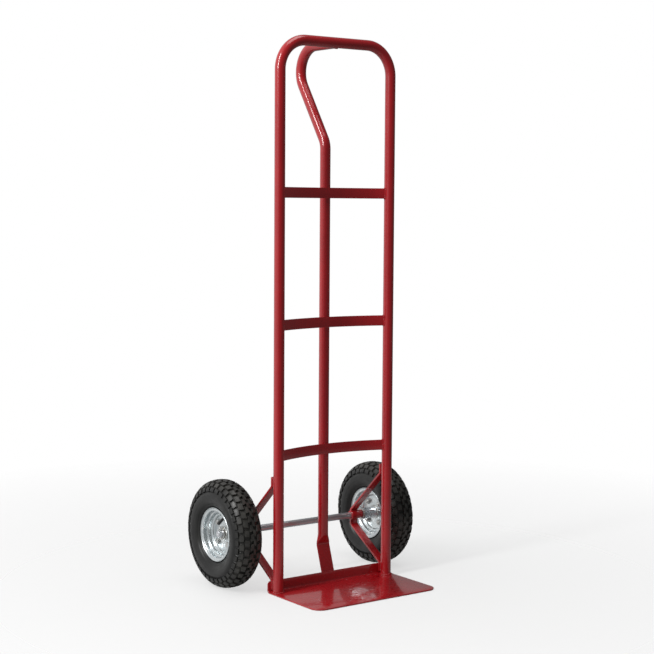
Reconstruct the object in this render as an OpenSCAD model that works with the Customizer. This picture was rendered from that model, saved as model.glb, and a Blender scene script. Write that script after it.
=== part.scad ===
// Hand truck with a P-shaped handle and two pneumatic wheels. Millimetres.
// Origin: on the floor, mid-width, in the plane of the two legs.
// +Z is up, -Y is the front (toe plate side), +X is the right wheel seen from the front.

/* [Frame] */
// Overall height, floor to the top of the frame tube
total_h = 1300; // [1200:10:1400]
// Distance between the centre lines of the two legs
leg_pitch = 320; // [280:5:360]
// Outside diameter of the frame and handle tubes
tube_d = 25; // [22:0.5:28]
// Wall thickness of the tubes
tube_wall = 1.6; // [1.2:0.1:2.5]
// Centre-line radius of the two top corners
corner_r = 70; // [50:5:90]

/* [Handle] */
// Distance of the upright behind the legs
spine_y = 43.5; // [40:0.5:50]
// Slant of the upper part of the spine, backwards from vertical
slant = 33.5; // [25:0.5:40]
// Centre-line radius of the lower handle bend
low_bend_r = 45; // [35:1:60]
// Centre-line radius of the loop at the top of the handle
loop_r = 59.5; // [50:0.5:65]
// Distance from the leg plane back to the centre of the loop
loop_y = 86.5; // [80:0.5:95]
// Width of the pressed-flat foot of the spine
foot_w = 37; // [34:0.5:40]
// Thickness of the pressed-flat foot
foot_t = 4; // [3.5:0.5:5]

/* [Crossbars] */
// Height of each crossbar's centre, bottom to top
bar_z = [326, 631, 938];
// Height of the flat bar
bar_h = 25; // [20:1:30]
// Thickness of the flat bar
bar_t = 4; // [3:0.5:5]

/* [Toe plate] */
// Width of the toe plate
toe_w = 354; // [340:2:370]
// Reach of the toe plate in front of the leg plane
toe_reach = 181; // [150:1:220]
// Height of the back flange
flange_h = 28.5; // [24:0.5:34]
// Sheet thickness
toe_t = 3.5; // [3:0.5:5]
// Radius of the front corners
toe_corner_r = 27; // [15:1:40]

/* [Axle] */
// Distance of the axle behind the leg plane
axle_y = 131.5; // [128:0.5:135]
// Diameter of the axle rod
axle_d = 16; // [14:0.5:18]
// Width of the strut bars
strut_w = 21; // [18:1:24]
// Thickness of the strut bars
strut_t = 5; // [4:0.5:5]

/* [Wheels] */
// Tyre diameter
tyre_d = 258; // [252:1:260]
// Tyre section width
tyre_w = 74; // [70:1:76]
// Distance from mid-width to each wheel's centre plane
wheel_x = 226.5; // [226:0.5:229]
// Pitch circle diameter of the rim bolts
bolt_pcd = 66; // [64:1:68]

/* [Hidden] */
$fn = 96;
tube_r = tube_d / 2;
bore_r = tube_r - tube_wall;
leg_x = leg_pitch / 2;
top_z = total_h - tube_r;
axle_z = tyre_d / 2;
axle_r = axle_d / 2;
bend_steps = 6;
gap = 0.3;
cope_gap = 0.2;
seam_gap = 0.01;
seam_w = 1;
seam_proud = 0.05;

// Handle: the slanted run is tangent to the loop, and meets the upright at its knee
loop_start = [loop_y + loop_r * cos(slant), top_z - loop_r - loop_r * sin(slant)];
knee_z = loop_start[1] - (loop_start[0] - spine_y) / tan(slant);
knee_run = low_bend_r * tan(slant / 2);
slant_run = norm(loop_start - [spine_y, knee_z]) - knee_run;

// Spine foot: the tube is pressed flat below press_top_z and ends flat on the flange
press_top_z = 117;
press_low_z = 93;
press_lip = 2;
upright_run = knee_z - knee_run - press_top_z;

// Toe plate: sheet centre line from the front edge, round the fold, up the flange
strut_end_y = tube_r + strut_t / 2;
flange_y = tube_r + strut_t + toe_t / 2;
fold_r = 4 + toe_t / 2;
flange_corner_r = 9;
foot_y = flange_y + toe_t / 2 + foot_t / 2;

// Struts: centre lines in the (Y, Z) plane
strut_apex_y = axle_y + 1;
strut_bend_r = 6;
upper_strut_top_z = 276;
upper_strut_bend_z = 253;
upper_apex_z = axle_z + 14.5;
lower_apex_z = axle_z - 22.5;
lower_strut_bend_z = 31.5;
lower_strut_end_z = 9;
sleeve_r = 11;
sleeve_x0 = leg_x - strut_w / 2 - 1;
sleeve_x1 = 180.5;

// Along the axle, outwards from mid-width
inner_washer_x = sleeve_x1 + 0.2;
washer_t = 2.8;
washer_r = 14;
hub_x0 = inner_washer_x + washer_t + gap;
hub_x1 = 233;
pin_x = 239.5;
axle_half = 245;
pin_r = 1.8;
pin_drop = 13;

// Hub and bushes
hub_r = 14;
hub_bore_r = 11.5;
bush_len = 15;
bush_flange_t = 1.5;
bush_gap = 0.05;

// Rim halves: sheet centre line as [radius, distance from the wheel's centre plane]
rim_t = 1.6;
rim_path = [[hub_r + 0.2, rim_t / 2], [42.3, rim_t / 2], [44.8, 5], [49.2, 5.6], [50.8, 13.5],
            [56, 14.5], [56, 24.2], [61.8, 24.2], [64, 26.6]];
rim_radii = [3, 3, 2.5, 2.5, 2.2, 2.2, 2];
bolt_r = 4;
bolt_hole_r = 4.3;
hex_r = 7.4;
head_t = 5.2;
nut_t = 6.4;
bolt_tail = 2.5;

// Valve: from the inner tube through the step of the outer rim, leaning outwards into the dish
valve_angle = 205;
valve_seat = [57.5, 3.6];
valve_lean = 38.5;
valve_r = 3.9;
valve_hole_r = 4.4;
valve_hole_z = [4, 22];
valve_len = 27;
cap_r = 4.4;
cap_len = 9;

// Tyre section: crown above the widest radius, ellipse below it, bead at the rim
widest_r = 90;
crown_r = tyre_d / 2;
side_x = tyre_w / 2;
crown_power = 2.5;
lower_semi = 32.5;
rubber_side = 6;
rubber_crown = 8;
bead_r = 57.5;
bead_x = 22.8;
bead_in_x = 14;
bead_top_r = 64.5;
inner_top_r = 62;
arc_steps = 14;
tube_ring_r = 88;
tube_skin_r = 29.3;
tube_skin_t = 1.6;

red = "#b3202a";
zinc = "#c3c7ca";
rubber = "#232324";

// ---- Path helpers ----

function unit(v) = v / norm(v);
function turn(a) = a > 180 ? a - 360 : a < -180 ? a + 360 : a;
function bearing(v) = atan2(v[1], v[0]);

// Arc of radius r that rounds the corner q between p and s
function corner_arc(p, q, s, r) =
    let (a = unit(p - q), b = unit(s - q), half = acos(a * b) / 2,
         centre = q + unit(a + b) * r / sin(half),
         from = bearing(q + a * r / tan(half) - centre),
         sweep = turn(bearing(q + b * r / tan(half) - centre) - from))
    [for (i = [0:bend_steps]) let (t = from + sweep * i / bend_steps) centre + r * [cos(t), sin(t)]];

// The path with every inner corner rounded by its radius
function rounded(path, radii) =
    [path[0],
     for (i = [1:len(path) - 2]) each corner_arc(path[i - 1], path[i], path[i + 1], radii[i - 1]),
     path[len(path) - 1]];

function left_of(v) = [-v[1], v[0]];
function mitre(path, i) =
    let (last = len(path) - 1,
         a = left_of(unit(path[min(i + 1, last)] - path[min(i, last - 1)])),
         b = left_of(unit(path[max(i, 1)] - path[max(i - 1, 0)])))
    (a + b) / (1 + a * b);

// Outline of a sheet of thickness t that follows the path
function sheet(path, t) =
    let (last = len(path) - 1)
    [for (i = [0:last]) path[i] + mitre(path, i) * t / 2,
     for (i = [last:-1:0]) path[i] - mitre(path, i) * t / 2];

// ---- Placing helpers ----

// A (Y, Z) outline extruded along X, centred on x
module along_x(x, width) {
    translate([x - width / 2, 0, 0]) rotate([90, 0, 90]) linear_extrude(width) children();
}

// A solid turned about Z, laid on the axle's line with its +Z towards +X
module on_axle(x) {
    translate([x, axle_y, axle_z]) rotate([0, 90, 0]) children();
}

module ring(r_out, r_in, h) {
    difference() {
        cylinder(r = r_out, h = h);
        translate([0, 0, -1]) cylinder(r = r_in, h = h + 2);
    }
}

// A shape built for the right side, mirrored for the left
module on_side(side) {
    if (side < 0) mirror([1, 0, 0]) children();
    else children();
}

// ---- Welded frame ----

module tube_section() {
    difference() {
        circle(r = tube_r);
        circle(r = bore_r);
    }
}

module frame_tube() {
    color(red) union() {
        for (side = [-1, 1]) {
            translate([side * leg_x, 0, toe_t]) linear_extrude(top_z - corner_r - toe_t) tube_section();
            translate([side * (leg_x - corner_r), 0, top_z - corner_r])
                rotate([90, 0, side > 0 ? 0 : 180])
                    rotate_extrude(angle = 90) translate([corner_r, 0]) tube_section();
        }
        translate([corner_r - leg_x, 0, top_z]) rotate([0, 90, 0])
            linear_extrude(2 * (leg_x - corner_r)) tube_section();
    }
}

module spine_foot() {
    path = rounded([[spine_y, press_low_z], [spine_y, press_low_z - 3],
                    [foot_y, flange_h - 1], [foot_y, toe_t + 5]], [6, 6]);
    along_x(0, foot_w) polygon(sheet(path, foot_t));
}

// Pressed from round to flat; the round end sits just inside the tube wall
module spine_press() {
    hull() {
        translate([0, spine_y, press_top_z]) cylinder(r = tube_r - 0.2, h = 1, $fn = 32);
        translate([-foot_w / 2, spine_y - foot_t / 2, press_low_z]) cube([foot_w, foot_t, press_lip]);
    }
}

// Tube bent through angle a with its centre line at radius r, from the +X axis anticlockwise
module tube_bend(a, r) {
    rotate_extrude(angle = a) translate([r, 0]) tube_section();
}

// Straight run of tube between two seams, up +Z from the origin
module tube_run(length) {
    translate([0, 0, seam_gap]) linear_extrude(length - 2 * seam_gap) tube_section();
}

// Seam ring that carries one run of the tube into the next, barely proud of the wall
module seam() {
    translate([0, 0, -seam_w / 2]) ring(tube_r + seam_proud, bore_r - seam_proud, seam_w);
}

// Drawn from the centre of the loop outwards, so that each run starts where the last one ends
module spine_tube() {
    translate([0, loop_y, top_z - loop_r]) rotate([90, 0, 90]) {
        difference() {
            translate([0, loop_r, 0]) rotate([0, -90, 0]) tube_run(loop_y);
            translate([-loop_y, loop_r, -leg_x / 2]) cylinder(r = tube_r + cope_gap, h = leg_x);
        }
        translate([0, loop_r, 0]) rotate([0, -90, 0]) seam();
        rotate([0, 0, -slant]) {
            tube_bend(90 + slant, loop_r);
            translate([loop_r, 0, 0]) rotate([90, 0, 0]) {
                seam();
                tube_run(slant_run);
                translate([0, 0, slant_run]) seam();
                translate([low_bend_r, 0, slant_run]) rotate([90, 0, 0]) rotate([0, 0, 180 - slant]) {
                    tube_bend(slant, low_bend_r);
                    translate([low_bend_r, 0, 0]) rotate([90, 0, 0]) {
                        seam();
                        tube_run(upright_run);
                    }
                }
            }
        }
    }
}

module handle_spine() {
    color(red) union() {
        spine_foot();
        spine_press();
        spine_tube();
    }
}

// Flat bar bowed back so that its middle meets the front of the spine
module crossbar(z) {
    end_y = 2;
    half_chord = leg_x - tube_r;
    bow = spine_y - tube_r - bar_t / 2 - end_y;
    bend_r = (half_chord * half_chord + bow * bow) / (2 * bow);
    half_angle = asin((half_chord + 2.5) / bend_r);
    difference() {
        translate([0, end_y + bow - bend_r, z - bar_h / 2]) rotate([0, 0, 90 - half_angle])
            rotate_extrude(angle = 2 * half_angle) translate([bend_r - bar_t / 2, 0]) square([bar_t, bar_h]);
        for (x = [-leg_x, leg_x]) translate([x, 0, z - bar_h]) cylinder(r = tube_r + 0.05, h = 2 * bar_h);
    }
}

module crossbar_bottom() { color(red) crossbar(bar_z[0]); }
module crossbar_middle() { color(red) crossbar(bar_z[1]); }
module crossbar_top() { color(red) crossbar(bar_z[2]); }

// Square corner of size r with a quarter circle left in place, cut from a vertical edge
module corner_cutter(r, h) {
    difference() {
        cube([r + 1, r + 1, h]);
        translate([0, 0, -1]) cylinder(r = r, h = h + 2);
    }
}

module toe_plate() {
    path = rounded([[-toe_reach, toe_t / 2], [flange_y, toe_t / 2], [flange_y, flange_h]], [fold_r]);
    color(red) difference() {
        along_x(0, toe_w) polygon(sheet(path, toe_t));
        for (side = [-1, 1]) on_side(side) {
            translate([toe_w / 2 - toe_corner_r, toe_corner_r - toe_reach, -1]) mirror([0, 1, 0])
                corner_cutter(toe_corner_r, toe_t + 2);
            translate([toe_w / 2 - flange_corner_r, flange_y + 10, flange_h - flange_corner_r])
                rotate([90, 0, 0]) corner_cutter(flange_corner_r, 20);
        }
    }
}

module sleeve_space() {
    on_axle(sleeve_x0 - 10) cylinder(r = sleeve_r + 0.05, h = strut_w + 20);
}

module upper_strut(side) {
    path = rounded([[strut_end_y, upper_strut_top_z], [strut_end_y, upper_strut_bend_z],
                    [strut_apex_y, upper_apex_z], [strut_apex_y, axle_z]], [strut_bend_r, strut_bend_r]);
    color(red) on_side(side) difference() {
        along_x(leg_x, strut_w) polygon(sheet(path, strut_t));
        sleeve_space();
    }
}

module lower_strut(side) {
    path = rounded([[strut_apex_y, axle_z], [strut_apex_y, lower_apex_z],
                    [strut_end_y, lower_strut_bend_z], [strut_end_y, lower_strut_end_z]],
                   [strut_bend_r, strut_bend_r]);
    color(red) on_side(side) difference() {
        along_x(leg_x, strut_w) polygon(sheet(path, strut_t));
        sleeve_space();
    }
}

module upper_strut_left() { upper_strut(-1); }
module upper_strut_right() { upper_strut(1); }
module lower_strut_left() { lower_strut(-1); }
module lower_strut_right() { lower_strut(1); }

module axle_sleeve(side) {
    color(red) on_side(side) on_axle(sleeve_x0) ring(sleeve_r, axle_r + 0.15, sleeve_x1 - sleeve_x0);
}

module axle_sleeve_left() { axle_sleeve(-1); }
module axle_sleeve_right() { axle_sleeve(1); }

// ---- Axle and its fasteners ----

module axle() {
    chamfer = 1;
    color(zinc) difference() {
        union() {
            on_axle(-axle_half + chamfer) cylinder(r = axle_r, h = 2 * (axle_half - chamfer));
            for (side = [-1, 1]) on_side(side) on_axle(axle_half - chamfer)
                cylinder(r1 = axle_r, r2 = axle_r - chamfer, h = chamfer);
        }
        for (side = [-1, 1])
            translate([side * pin_x, axle_y, axle_z - axle_r - 1])
                cylinder(r = pin_r + 0.2, h = axle_d + 2);
    }
}

module washer(side, x) {
    color(zinc) on_side(side) on_axle(x) ring(washer_r, axle_r + 0.3, washer_t);
}

module inner_washer_left() { washer(-1, inner_washer_x); }
module inner_washer_right() { washer(1, inner_washer_x); }
module outer_washer_left() { washer(-1, hub_x1 + gap); }
module outer_washer_right() { washer(1, hub_x1 + gap); }

// Split pin: a round shank through the axle, an eye on top and two legs spread below
module split_pin(side) {
    eye_r = 3.2;
    leg_len = 7;
    color(zinc) on_side(side) translate([pin_x, axle_y, axle_z]) {
        translate([0, 0, -axle_r - 1.5]) cylinder(r = pin_r, h = pin_drop + axle_r + 1.5, $fn = 24);
        translate([0, 0, pin_drop + eye_r + 0.4]) rotate([0, 90, 0])
            rotate_extrude($fn = 36) translate([eye_r, 0]) circle(r = pin_r * 0.6, $fn = 16);
        for (spread = [-55, 55]) translate([0, 0, -axle_r - 1.2]) rotate([spread, 0, 0])
            translate([0, 0, -leg_len]) cylinder(r = pin_r * 0.7, h = leg_len, $fn = 16);
    }
}

module split_pin_left() { split_pin(-1); }
module split_pin_right() { split_pin(1); }

// ---- Wheels ----

// Tyre outline as [radius, distance from the centre plane] at one angle t above the widest radius
function crown_point(t, side, height) =
    [widest_r + height * pow(sin(t), 2 / crown_power), side * pow(cos(t), 2 / crown_power)];
function lower_point(r, side) = [r, side * sqrt(1 - pow((widest_r - r) / lower_semi, 2))];

function half_section(side, height, low_r) =
    [for (i = [0:arc_steps]) crown_point(90 * (1 - i / arc_steps), side, height),
     for (i = [1:arc_steps]) lower_point(widest_r + (low_r - widest_r) * i / arc_steps, side)];

function mirrored(points) = [for (i = [len(points) - 1:-1:0]) [points[i][0], -points[i][1]]];

module tyre(side) {
    outer = concat(half_section(side_x, crown_r - widest_r, bead_top_r), [[bead_r, bead_x]]);
    inner = concat(half_section(side_x - rubber_side, crown_r - rubber_crown - widest_r, inner_top_r),
                   [[bead_r, bead_in_x]]);
    outline = concat(mirrored(outer), [for (i = [1:len(outer) - 1]) outer[i]]);
    cavity = concat(mirrored(inner), [for (i = [1:len(inner) - 1]) inner[i]]);
    color(rubber) on_side(side) on_axle(wheel_x) rotate_extrude()
        polygon(concat(outline, [for (i = [len(cavity) - 1:-1:0]) cavity[i]]));
}

module tyre_left() { tyre(-1); }
module tyre_right() { tyre(1); }

module inner_tube(side) {
    color(rubber) on_side(side) on_axle(wheel_x) rotate_extrude() translate([tube_ring_r, 0])
        difference() {
            circle(r = tube_skin_r);
            circle(r = tube_skin_r - tube_skin_t);
        }
}

module inner_tube_left() { inner_tube(-1); }
module inner_tube_right() { inner_tube(1); }

// The four places round the wheel where the rim bolts go
module at_bolts() {
    for (a = [45:90:315]) rotate([0, 0, a]) translate([bolt_pcd / 2, 0, 0]) children();
}

// Places its children on the valve's line: +Z runs from the rim towards the hub
module on_valve() {
    rotate([0, 0, valve_angle]) translate([valve_seat[0], 0, valve_seat[1]])
        rotate([0, -90 + valve_lean, 0]) children();
}

module rim_half() {
    difference() {
        rotate_extrude() polygon(sheet(rounded(rim_path, rim_radii), rim_t));
        at_bolts() translate([0, 0, -1]) cylinder(r = bolt_hole_r, h = 6);
    }
}

module rim_outer(side) {
    color(zinc) on_side(side) on_axle(wheel_x) difference() {
        rim_half();
        on_valve() translate([0, 0, valve_hole_z[0]])
            cylinder(r = valve_hole_r, h = valve_hole_z[1] - valve_hole_z[0]);
    }
}

module rim_inner(side) {
    color(zinc) on_side(side) on_axle(wheel_x) mirror([0, 0, 1]) rim_half();
}

module rim_outer_left() { rim_outer(-1); }
module rim_outer_right() { rim_outer(1); }
module rim_inner_left() { rim_inner(-1); }
module rim_inner_right() { rim_inner(1); }

module hub(side) {
    color(zinc) on_side(side) on_axle(hub_x0 + bush_flange_t)
        ring(hub_r, hub_bore_r, hub_x1 - hub_x0 - 2 * bush_flange_t);
}

module hub_left() { hub(-1); }
module hub_right() { hub(1); }

// Flanged plain bush, flange at the given end of the hub: 0 is the inner end, 1 the outer
module hub_bush(side, end) {
    x = end == 0 ? hub_x0 : hub_x1;
    color("#d8d4c8") on_side(side) on_axle(x) mirror([0, 0, end]) union() {
        ring(hub_r - 0.5, axle_r + bush_gap, bush_flange_t);
        translate([0, 0, bush_flange_t]) ring(hub_bore_r, axle_r + bush_gap, bush_len);
    }
}

module hub_bush_inner_left() { hub_bush(-1, 0); }
module hub_bush_inner_right() { hub_bush(1, 0); }
module hub_bush_outer_left() { hub_bush(-1, 1); }
module hub_bush_outer_right() { hub_bush(1, 1); }

module rim_bolts(side) {
    color(zinc) on_side(side) on_axle(wheel_x) at_bolts() {
        translate([0, 0, rim_t]) cylinder(r = hex_r, h = head_t, $fn = 6);
        translate([0, 0, -rim_t - nut_t - bolt_tail])
            cylinder(r = bolt_r, h = 2 * rim_t + nut_t + bolt_tail + 0.5, $fn = 32);
    }
}

module rim_nuts(side) {
    color(zinc) on_side(side) on_axle(wheel_x) at_bolts()
        translate([0, 0, -rim_t - nut_t]) difference() {
            cylinder(r = hex_r, h = nut_t, $fn = 6);
            translate([0, 0, -1]) cylinder(r = bolt_r + 0.05, h = nut_t + 2, $fn = 32);
        }
}

module rim_bolts_left() { rim_bolts(-1); }
module rim_bolts_right() { rim_bolts(1); }
module rim_nuts_left() { rim_nuts(-1); }
module rim_nuts_right() { rim_nuts(1); }

module valve_stem(side) {
    color(rubber) on_side(side) on_axle(wheel_x) on_valve() cylinder(r = valve_r, h = valve_len, $fn = 32);
}

module valve_cap(side) {
    color(rubber) on_side(side) on_axle(wheel_x) on_valve()
        translate([0, 0, valve_len]) cylinder(r = cap_r, h = cap_len, $fn = 32);
}

module valve_stem_left() { valve_stem(-1); }
module valve_stem_right() { valve_stem(1); }
module valve_cap_left() { valve_cap(-1); }
module valve_cap_right() { valve_cap(1); }

frame_tube();
handle_spine();
crossbar_top();
crossbar_middle();
crossbar_bottom();
toe_plate();
upper_strut_left();
upper_strut_right();
lower_strut_left();
lower_strut_right();
axle_sleeve_left();
axle_sleeve_right();
axle();
inner_washer_left();
inner_washer_right();
outer_washer_left();
outer_washer_right();
split_pin_left();
split_pin_right();
tyre_left();
tyre_right();
inner_tube_left();
inner_tube_right();
rim_outer_left();
rim_outer_right();
rim_inner_left();
rim_inner_right();
hub_left();
hub_right();
hub_bush_outer_left();
hub_bush_outer_right();
hub_bush_inner_left();
hub_bush_inner_right();
rim_bolts_left();
rim_bolts_right();
rim_nuts_left();
rim_nuts_right();
valve_stem_left();
valve_stem_right();
valve_cap_left();
valve_cap_right();
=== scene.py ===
"""A red two-wheel hand truck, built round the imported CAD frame. Metres, +Z up, -Y to the front."""

import math

import bmesh
import bpy
import numpy as np
from mathutils import Matrix, Vector


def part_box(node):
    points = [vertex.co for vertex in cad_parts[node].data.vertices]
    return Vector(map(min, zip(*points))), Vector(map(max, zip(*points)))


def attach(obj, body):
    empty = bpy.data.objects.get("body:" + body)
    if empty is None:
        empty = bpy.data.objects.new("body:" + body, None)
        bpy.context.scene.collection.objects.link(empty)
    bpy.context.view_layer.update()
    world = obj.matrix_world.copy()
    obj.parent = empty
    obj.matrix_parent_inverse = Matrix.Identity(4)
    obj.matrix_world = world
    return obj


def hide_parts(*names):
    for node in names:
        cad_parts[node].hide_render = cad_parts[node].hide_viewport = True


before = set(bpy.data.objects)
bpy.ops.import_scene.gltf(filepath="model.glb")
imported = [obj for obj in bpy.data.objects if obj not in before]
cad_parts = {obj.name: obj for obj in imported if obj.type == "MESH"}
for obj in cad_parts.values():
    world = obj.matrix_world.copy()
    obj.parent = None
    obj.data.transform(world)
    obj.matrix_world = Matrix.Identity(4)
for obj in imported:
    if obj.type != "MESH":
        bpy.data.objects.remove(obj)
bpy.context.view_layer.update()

MM = 0.001
SIDES = (("left", -1), ("right", 1))
TURN = 2 * math.pi

# Camera, as the photographer stood: azimuth and elevation in degrees, roll in radians
CAMERA_AZIMUTH = -36.02
CAMERA_ELEVATION = 4.62
CAMERA_ROLL = 0.0064
CAMERA_PLACE = Vector((-2.1198, -2.8832, 0.9102))
CAMERA_LENS = 83.29

# Where the surround is brightest: to the left and a little behind
BRIGHT_SIDE = (-0.70, 0.62, 0.34)

# Frame tube and handle, beyond what their boxes say
CORNER_R = 70 * MM
SPINE_Y = 43.5 * MM
SLANT = math.radians(33.5)
KNEE_R = 45 * MM
LOOP_R = 59.5 * MM
FOOT_T = 4 * MM
PRESS_TOP_Z = 117 * MM
PRESS_LOW_Z = 93 * MM
FOOT_BEND_R = 6 * MM

# Flat bars, struts and toe plate
BAR_T = 4 * MM
BAR_END_Y = 2 * MM
STRUT_T = 5 * MM
STRUT_BEND_R = 6 * MM
UPPER_BEND_Z = 253 * MM
UPPER_APEX_RISE = 14.5 * MM
LOWER_APEX_DROP = 22.5 * MM
LOWER_BEND_Z = 31.5 * MM
STRUT_IN_SLEEVE = 9.4 * MM
PLATE_T = 3.5 * MM
PLATE_CORNER_R = 27 * MM
FLANGE_CORNER_R = 9 * MM
FOLD_R = 5.75 * MM
FLANGE_Y = 19.25 * MM

# Axle line: bores are a little wider than the rod
SLEEVE_BORE_R = 8.15 * MM
WASHER_BORE_R = 8.3 * MM
BUSH_BORE_R = 8.05 * MM
BUSH_FLANGE_T = 1.5 * MM
HUB_BORE_R = 11.5 * MM
PIN_WIRE_R = 0.85 * MM
PIN_EYE_R = 3.2 * MM

# Rim halves: sheet centre line as [radius, distance from the wheel's centre plane]
RIM_T = 1.6 * MM
RIM_PATH = MM * np.array([
    [14.2, 0.8], [42.3, 0.8], [44.8, 5], [49.2, 5.6], [50.8, 13.5],
    [56, 14.5], [56, 24.2], [61.8, 24.2], [64, 26.6],
])
RIM_RADII = MM * np.array([3, 3, 2.5, 2.5, 2.2, 2.2, 2])
BOLT_RING_R = 33 * MM
BOLT_R = 4 * MM
HEX_R = 7.4 * MM
HEAD_T = 5.2 * MM
NUT_T = 6.4 * MM
BOLT_TAIL = 2.5 * MM
NEAR_AXIS = 0.01 * MM

# Valve: seat as [radius, offset], then its lean and lengths along its own line
VALVE_ANGLE = math.radians(205)
VALVE_SEAT = (57.5 * MM, 3.6 * MM)
VALVE_LEAN = math.radians(38.5)
VALVE_LEN = 27 * MM
VALVE_R = 3.9 * MM
CAP_LEN = 9 * MM
CAP_R = 4.4 * MM

# Tyre section and tread
WIDEST_R = 90 * MM
CROWN_POWER = 2.5
LOWER_SEMI = 32.5 * MM
BEAD_TOP_R = 64.5 * MM
BEAD_R = 57.5 * MM
BEAD_X = 22.8 * MM
BEAD_IN_X = 14 * MM
INNER_TOP_R = 62 * MM
RUBBER_SIDE = 6 * MM
RUBBER_CROWN = 8 * MM
TREAD_PITCHES = 36
TUBE_RING_R = 88 * MM
TUBE_SKIN_R = 29.3 * MM

tube_low, tube_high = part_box("frame_tube")
spine_low, spine_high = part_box("handle_spine")
plate_low, plate_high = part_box("toe_plate")
axle_low, axle_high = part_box("axle")
TUBE_R = tube_high.y
LEG_X = tube_high.x - TUBE_R
TOP_Z = tube_high.z - TUBE_R
AXLE_Y = (axle_low.y + axle_high.y) / 2
AXLE_Z = (axle_low.z + axle_high.z) / 2
AXLE_R = (axle_high.z - axle_low.z) / 2
tyre_low, tyre_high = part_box("tyre_right")
WHEEL_X = (tyre_low.x + tyre_high.x) / 2


# ---- Mesh helpers ----


def unit(rows):
    """Each row scaled to length 1."""
    rows = np.asarray(rows, float)
    return rows / np.linalg.norm(rows, axis=-1, keepdims=True)


def turned(points, angle):
    """2-D points turned anticlockwise about the origin."""
    c, s = math.cos(angle), math.sin(angle)
    return np.asarray(points) @ np.array([[c, s], [-s, c]])


def arc(centre, radius, start, end, steps):
    """Points on a 2-D arc, angles in radians."""
    angles = np.linspace(start, end, steps + 1)
    return np.array(centre) + radius * np.stack([np.cos(angles), np.sin(angles)], 1)


def rounded(path, radii, steps=8):
    """A 2-D path with each inner corner rounded by its radius."""
    path = np.asarray(path, float)
    points = [path[:1]]
    for before, corner, after, radius in zip(path, path[1:], path[2:], radii):
        a, b = unit(before - corner), unit(after - corner)
        half = math.acos(np.clip(a @ b, -1, 1)) / 2
        centre = corner + unit(a + b) * radius / math.sin(half)
        start = corner + a * radius / math.tan(half) - centre
        end = corner + b * radius / math.tan(half) - centre
        first = math.atan2(start[1], start[0])
        sweep_angle = (math.atan2(end[1], end[0]) - first + math.pi) % TURN - math.pi
        points.append(arc(centre, radius, first, first + sweep_angle, steps))
    points.append(path[-1:])
    return np.concatenate(points)


def offset_path(path, distance):
    """A 2-D path moved sideways to its left, mitred at its corners."""
    steps = unit(np.diff(path, axis=0))
    left = np.stack([-steps[:, 1], steps[:, 0]], 1)
    a = np.concatenate([left[:1], left])
    b = np.concatenate([left, left[-1:]])
    return path + distance * (a + b) / (1 + np.sum(a * b, 1, keepdims=True))


def circle(radius, count=40, shift=0):
    """A closed round section, its points moved round by a share of their spacing."""
    angles = (np.arange(count) + shift) * TURN / count
    return radius * np.stack([np.cos(angles), np.sin(angles)], 1)


def flat_section(width, thickness, radius, steps=3):
    """A closed rectangular section with rounded edges, width along the first axis."""
    half_w, half_t = width / 2 - radius, thickness / 2 - radius
    corners = ((half_w, half_t, 0), (-half_w, half_t, 1), (-half_w, -half_t, 2), (half_w, -half_t, 3))
    parts = [arc((x, y), radius, q * math.pi / 2, (q + 1) * math.pi / 2, steps) for x, y, q in corners]
    return np.concatenate(parts)


def rounded_ends(path, edge):
    """The path with extra points near both ends, and how far each of its sections is drawn in there."""
    angles = np.radians([0, 30, 60, 90])
    places = edge * (1 - np.cos(angles))
    insets = edge * (1 - np.sin(angles))
    ahead = unit(path[1] - path[0])
    behind = unit(path[-2] - path[-1])
    head = [path[0] + ahead * p for p in places]
    tail = [path[-1] + behind * p for p in places[::-1]]
    points = np.concatenate([head, path[1:-1], tail])
    inset = np.concatenate([insets, np.zeros(len(path) - 2), insets[::-1]])
    return points, inset


def skin(rings, loop=False):
    """Vertices and faces over equal closed rings of points; loop joins the last ring to the first."""
    count, size = rings.shape[:2]
    faces = []
    for i in range(count if loop else count - 1):
        a, b = i * size, (i + 1) % count * size
        faces += [(a + j, a + (j + 1) % size, b + (j + 1) % size, b + j) for j in range(size)]
    if not loop:
        faces.append(tuple(range(size)))
        faces.append(tuple((count - 1) * size + j for j in range(size)))
    return rings.reshape(-1, 3), faces


def sweep(path, side, sections):
    """Rings of 2-D sections along a planar path; side is the unit normal of the path's plane."""
    path = np.asarray(path, float)
    side = np.asarray(side, float)
    steps = unit(np.diff(path, axis=0))
    before = np.concatenate([steps[:1], steps])
    after = np.concatenate([steps, steps[-1:]])
    along = unit(before + after)
    stretch = 1 / np.sum(along * after, 1)
    normal = np.cross(side, along) * stretch[:, None]
    sections = np.broadcast_to(sections, (len(path),) + np.shape(sections)[-2:])
    return path[:, None] + sections[..., :1] * side + sections[..., 1:] * normal[:, None]


def tube_along(points, radii, sides=10, closed=False):
    """Rings round any 3-D line, with a radius at each point and no twist."""
    points = np.asarray(points, float)
    if closed:
        ahead = np.roll(points, -1, 0) - np.roll(points, 1, 0)
    else:
        ahead = np.gradient(points, axis=0)
    along = unit(ahead)
    rings = []
    across = np.cross(along[0], (0.3, 0.5, 0.81))
    for point, direction, radius in zip(points, along, radii):
        across = unit(across - direction * (across @ direction))
        other = np.cross(direction, across)
        ring = circle(radius, sides)
        rings.append(point + ring[:, :1] * across + ring[:, 1:] * other)
    return np.array(rings)


def lathe(profile, x, side, count=96):
    """A closed (radius, offset) profile turned about the axle's line; x is where offset 0 lies."""
    angles = np.arange(count) * TURN / count
    radius, offset = np.asarray(profile).T
    rings = np.zeros((count, len(radius), 3))
    rings[..., 0] = side * (x + offset)
    rings[..., 1] = AXLE_Y + radius * np.cos(angles)[:, None]
    rings[..., 2] = AXLE_Z + radius * np.sin(angles)[:, None]
    return skin(rings, loop=True)


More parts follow.
